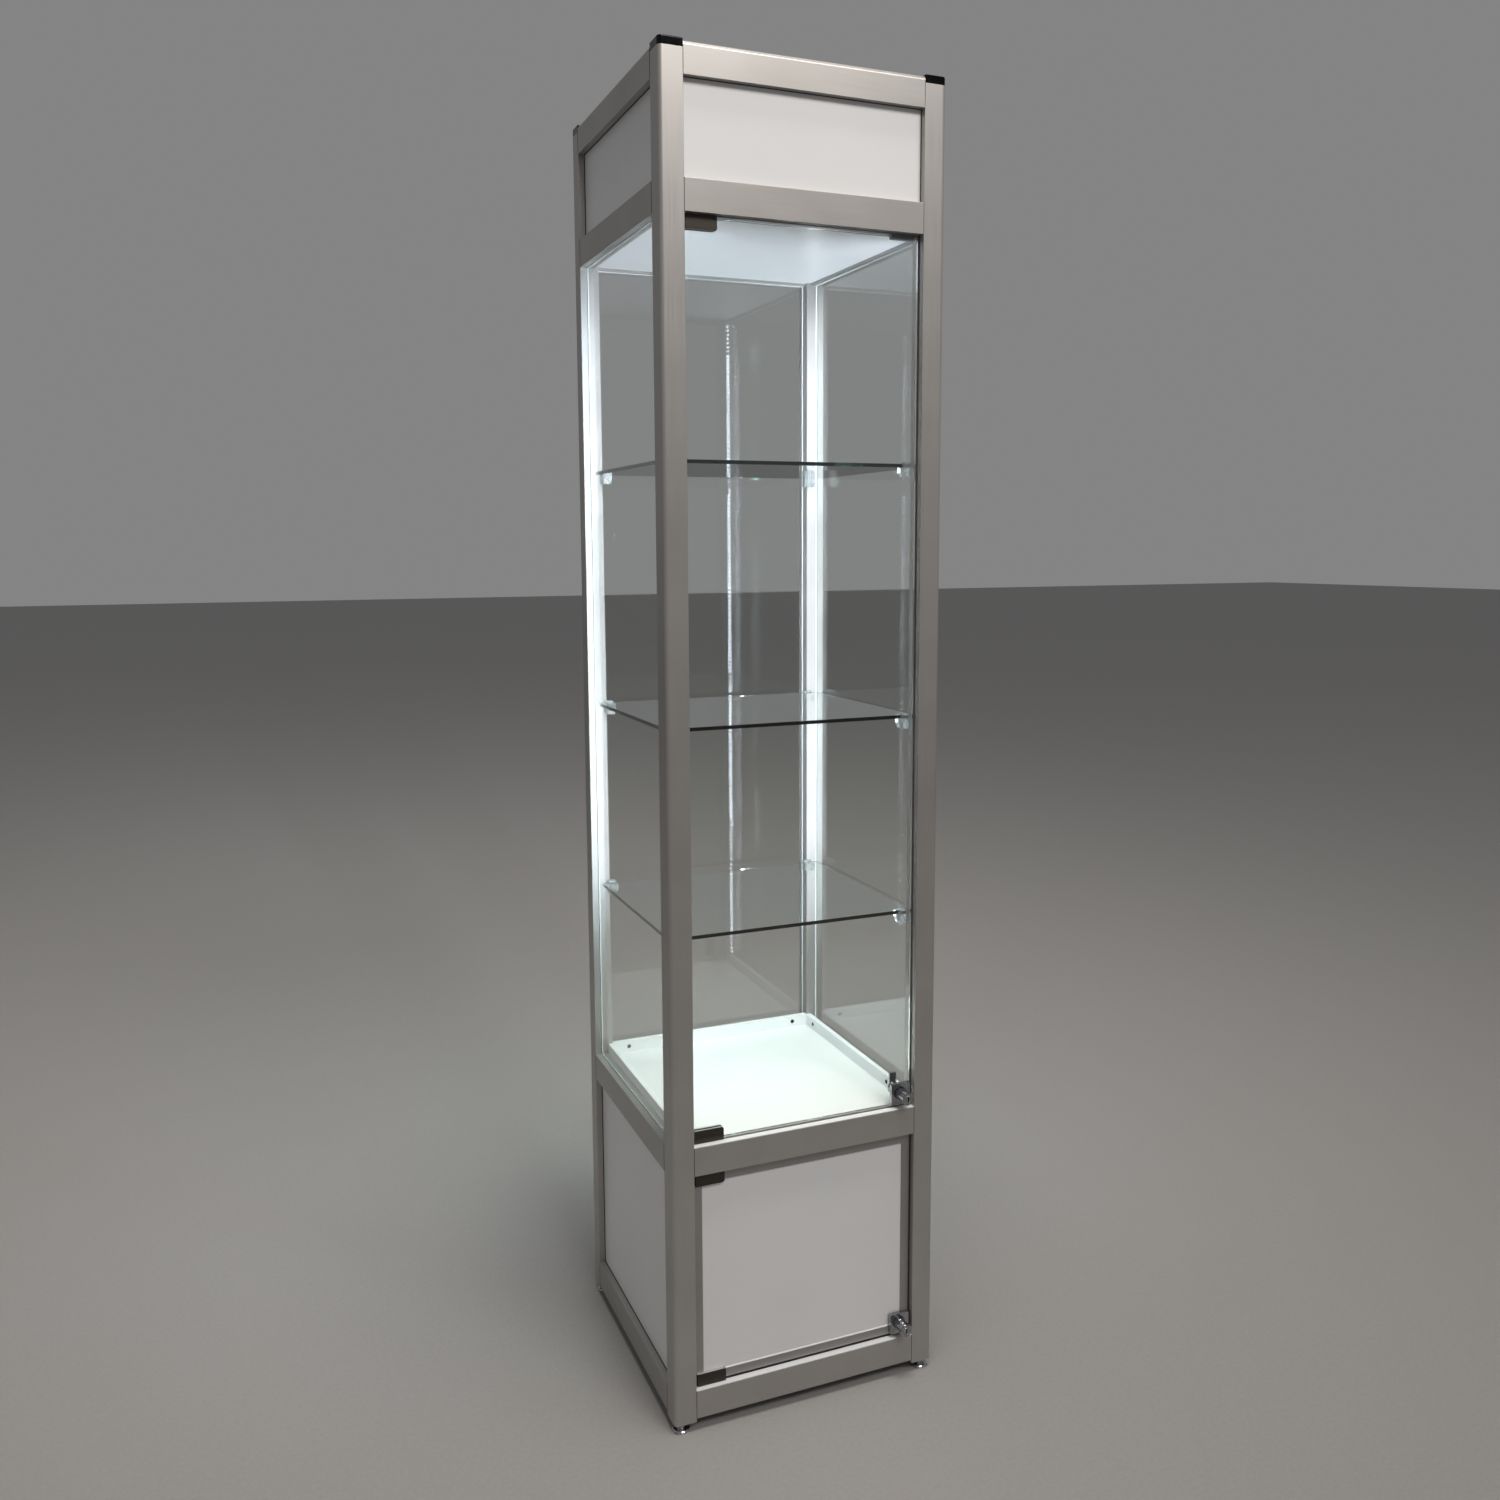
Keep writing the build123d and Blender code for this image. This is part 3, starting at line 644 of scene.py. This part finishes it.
def lock_rings(door):
    """Rings turned round a lock's barrel, set back from its tip."""
    low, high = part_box(door + "_lock_body")
    x, z = (low.x + high.x) / 2, (low.z + high.z) / 2
    root = BARREL_RADIUS - RING_SINK
    mesh = bmesh.new()
    for start, width, rise in BARREL_RINGS:
        length, outer = width * MM, BARREL_RADIUS + rise * MM
        section = [(0, root), (0, outer - RING_EDGE), (RING_EDGE, outer), (length - RING_EDGE, outer),
                   (length, outer - RING_EDGE), (length, root)]
        back = (x, low.y + (start + width) * MM, z)
        add_turned(mesh, section, back, (0, -1, 0), LOCK_SIDES, hollow=True)
    smooth(piece(door + "_lock_rings", mesh, lock_chrome, door))


def key_rim(door):
    """Raised rim round the key plug of a lock, which turns with the plug."""
    low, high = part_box(door + "_lock_body")
    centre = ((low.x + high.x) / 2, low.y + KEY_RIM_SINK, (low.z + high.z) / 2)
    mesh = bmesh.new()
    section = [(rise * MM, radius * MM) for rise, radius in KEY_RIM]
    add_turned(mesh, section, centre, (0, -1, 0), LOCK_SIDES, hollow=True)
    smooth(piece(door + "_key_rim", mesh, zinc, door + "_lock"))


# ---- studio ---------------------------------------------------------------------------
FLOOR_HALF = 30.0                                           # metres
EYE_LEFT, EYE_AHEAD, EYE_HEIGHT = 1.8345, 4.4282, 2.9776    # of the case's width, from its centre
EYE_TURN, EYE_DIP, EYE_ROLL = 22.460, 6.936, -0.269         # degrees to the right, down and round
LENS, SENSOR = 31.42, 36.0                                  # millimetres
SHIFT = -0.03

# place, target and size in metres, power in watts, colour and spread in degrees
LAMPS = {
    "overhead": ((0, -0.9, 6.0), (0, -0.2, 1.0), (2.0, 1.2), 130, "fffaf2", 180),
    "key": ((0.6, -3.4, 4.1), (0, 0, 1.75), (2.2, 1.2), 16, "fffaf5", 60),
}
STRIP_LAMPS = {"glow": (1.5, 180), "beam": (2.4, 50)}       # power and spread
STRIP_COLOUR = "eaf2ff"
STRIP_LAMP_WIDTH = 7 * MM
STRIP_LAMP_FOOT, STRIP_LAMP_HEAD = 260 * MM, 60 * MM        # board's ends to the lamp's ends
STRIP_LAMP_GAP = 1 * MM
WORLD_COLOUR, WORLD_STRENGTH = "bcbcbd", 0.46


def camera():
    """Camera left of the case at chest height, looking slightly down at it."""
    data = bpy.data.cameras.new("camera")
    data.lens, data.sensor_width, data.shift_y = LENS, SENSOR, SHIFT
    made = bpy.data.objects.new("camera", data)
    bpy.context.scene.collection.objects.link(made)
    made.location = (CENTRE_X - EYE_LEFT * WIDTH, CENTRE_Y - EYE_AHEAD * WIDTH, BASE + EYE_HEIGHT * WIDTH)
    level = Euler((math.radians(90 - EYE_DIP), 0, math.radians(-EYE_TURN)), "XYZ").to_matrix()
    roll = Matrix.Rotation(math.radians(EYE_ROLL), 3, "Z")
    made.rotation_euler = (level @ roll).to_euler()
    bpy.context.scene.camera = made


def area_light(name, place, target, size, power, colour, spread):
    """Rectangular lamp at a place, facing a target."""
    data = bpy.data.lights.new(name, "AREA")
    data.shape, data.size, data.size_y = "RECTANGLE", *size
    data.energy, data.color, data.spread = power, linear(colour)[:3], math.radians(spread)
    made = bpy.data.objects.new(name, data)
    bpy.context.scene.collection.objects.link(made)
    made.location = place
    made.rotation_euler = (Vector(target) - Vector(place)).to_track_quat("-Z", "Y").to_euler()
    return made


def studio_floor():
    """Plain pale floor under the feet."""
    signs = ((-1, -1), (1, -1), (1, 1), (-1, 1))
    data = bpy.data.meshes.new("floor")
    data.from_pydata([(x * FLOOR_HALF, y * FLOOR_HALF, 0) for x, y in signs], [], [(0, 1, 2, 3)])
    data.materials.append(moulded_plastic("pale_studio_floor", "9d9b99", "a3a19f", 0.75, grain=6.0))
    floor = bpy.data.objects.new("floor", data)
    bpy.context.scene.collection.objects.link(floor)


def surroundings():
    """Even pale light from all round, shown with a plain colour transform."""
    world = bpy.data.worlds.new("studio")
    world.use_nodes = True
    background = world.node_tree.nodes["Background"].inputs
    background["Color"].default_value = linear(WORLD_COLOUR)
    background["Strength"].default_value = WORLD_STRENGTH
    bpy.context.scene.world = world
    bpy.context.scene.view_settings.view_transform = "Standard"


def strip_lights():
    """Soft lamps along the two light boards, which light the inside of the showcase."""
    low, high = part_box("led_boards")
    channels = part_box("led_channels")[1]
    bottom, top = low.z + STRIP_LAMP_FOOT, high.z - STRIP_LAMP_HEAD
    middle = (bottom + top) / 2
    inset = channels.x - POST / 5
    for x in (-inset, inset):
        for name, (power, spread) in STRIP_LAMPS.items():
            place, size = (x, channels.y + STRIP_LAMP_GAP, middle), (STRIP_LAMP_WIDTH, top - bottom)
            made = area_light("strip_" + name, place, (x, REAR, middle), size, power, STRIP_COLOUR, spread)
            made.visible_camera = made.visible_glossy = False


light_strips()
panel_seals()
joint_seams()
lip_strips()
door_panel_bead()
upstand_screws()
for door in ("glass_door", "cupboard_door"):
    hinge_screws(door)
    lock_rings(door)
    key_rim(door)
camera()
studio_floor()
surroundings()
for name, lamp in LAMPS.items():
    area_light(name, *lamp)
strip_lights()
